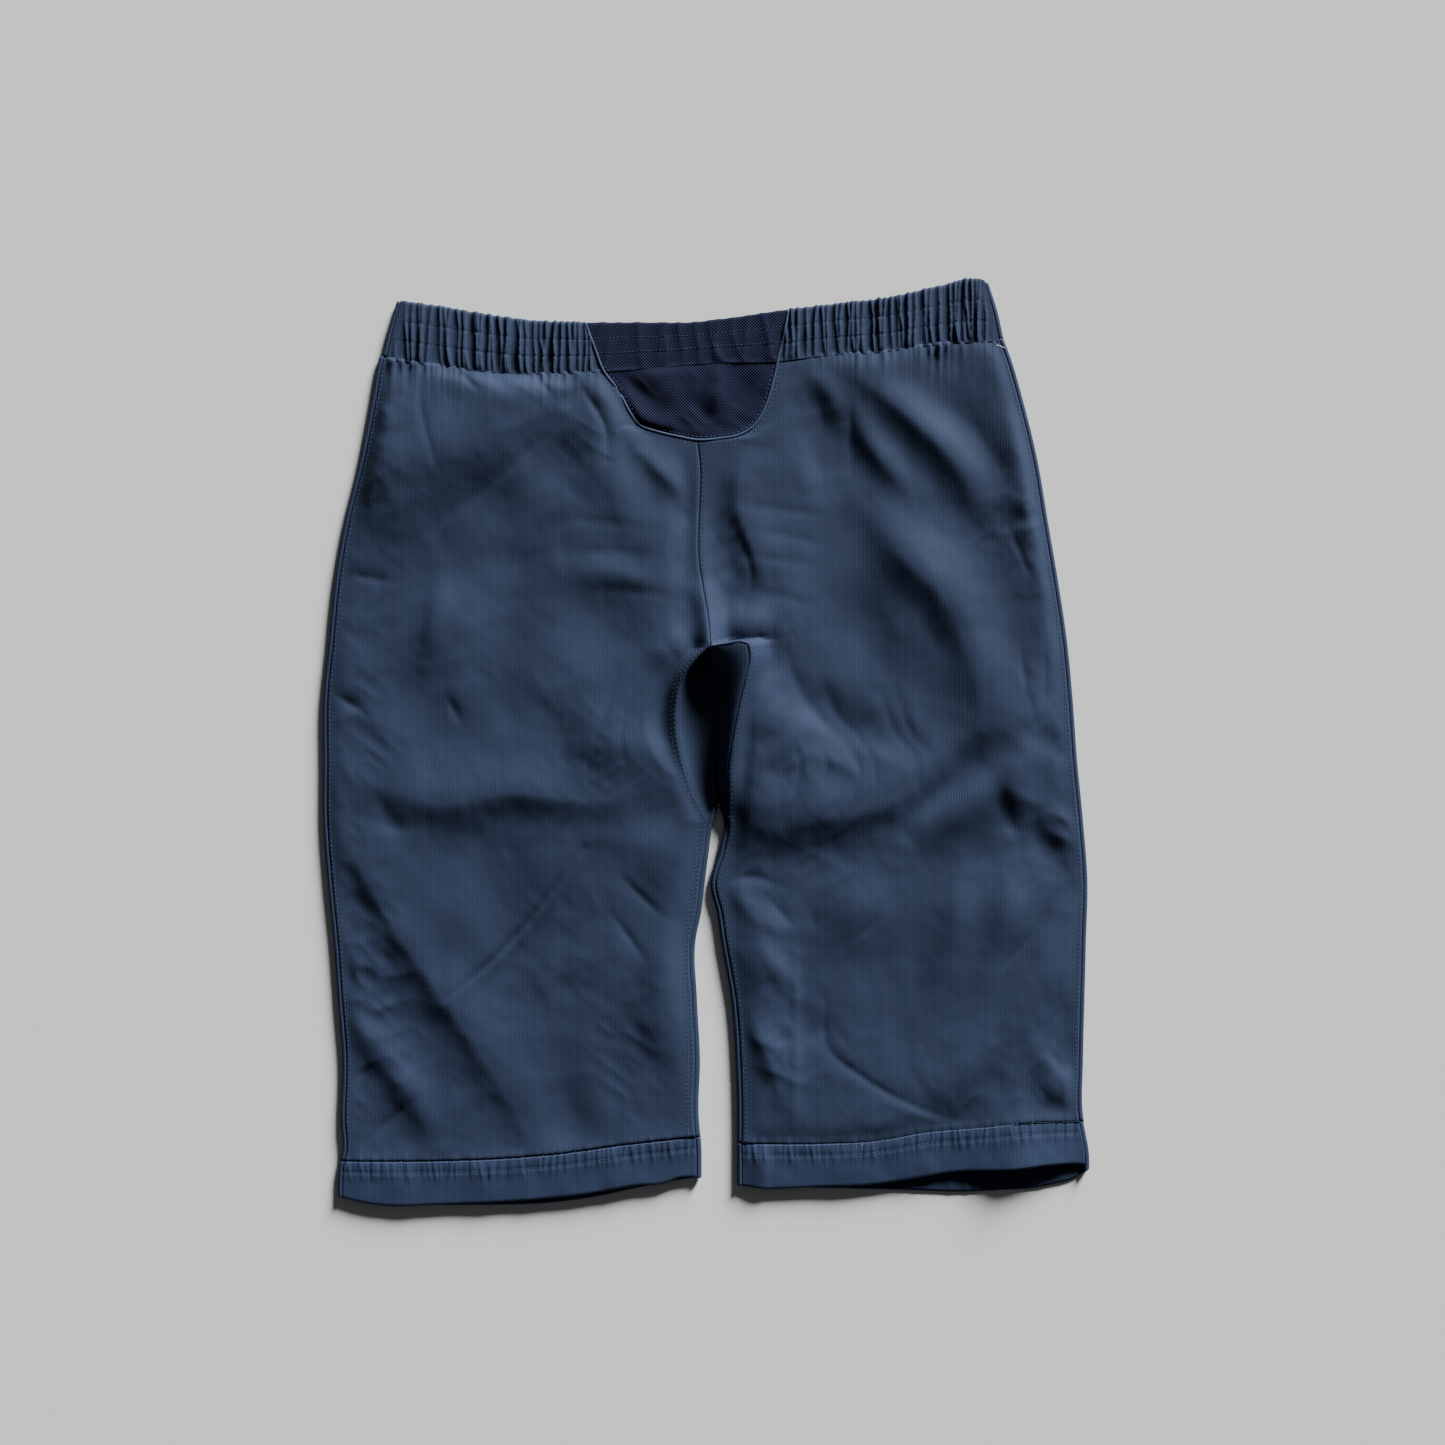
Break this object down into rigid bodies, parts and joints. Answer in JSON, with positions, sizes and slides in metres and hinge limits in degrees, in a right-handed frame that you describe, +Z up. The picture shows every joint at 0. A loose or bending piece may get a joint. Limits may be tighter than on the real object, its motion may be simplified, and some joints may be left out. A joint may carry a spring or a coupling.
{
  "type": "track capri pants",
  "caption": "Pair of track capri pants laid flat with the back side up: gathered elastic waistband, mesh yoke in the back and turned-up leg hems.",
  "frame": {"origin": "centre of the laid garment's outline, on the surface it lies on", "axes": "+X to the viewer's right as the back is seen from above, +Y from the leg hems to the waist, +Z up from the surface"},
  "size_m": [0.5204, 0.6287, 0.022],
  "materials": {
    "woven_polyester": "matt woven polyester with a slight sheen",
    "hem_polyester": "matt woven polyester, turned up double",
    "mesh_knit": "matt mesh knit"
  },
  "bodies": {
    "root": {"back_left": "woven_polyester", "back_right": "woven_polyester", "front_left": "woven_polyester", "front_right": "woven_polyester", "waistband_back_left": "woven_polyester", "waistband_back_right": "woven_polyester", "waistband_front": "woven_polyester", "hem_back_left": "hem_polyester", "hem_back_right": "hem_polyester", "hem_front_left": "hem_polyester", "hem_front_right": "hem_polyester", "back_yoke": "mesh_knit", "waistband_back_mesh": "mesh_knit"}
  },
  "joints": []
}
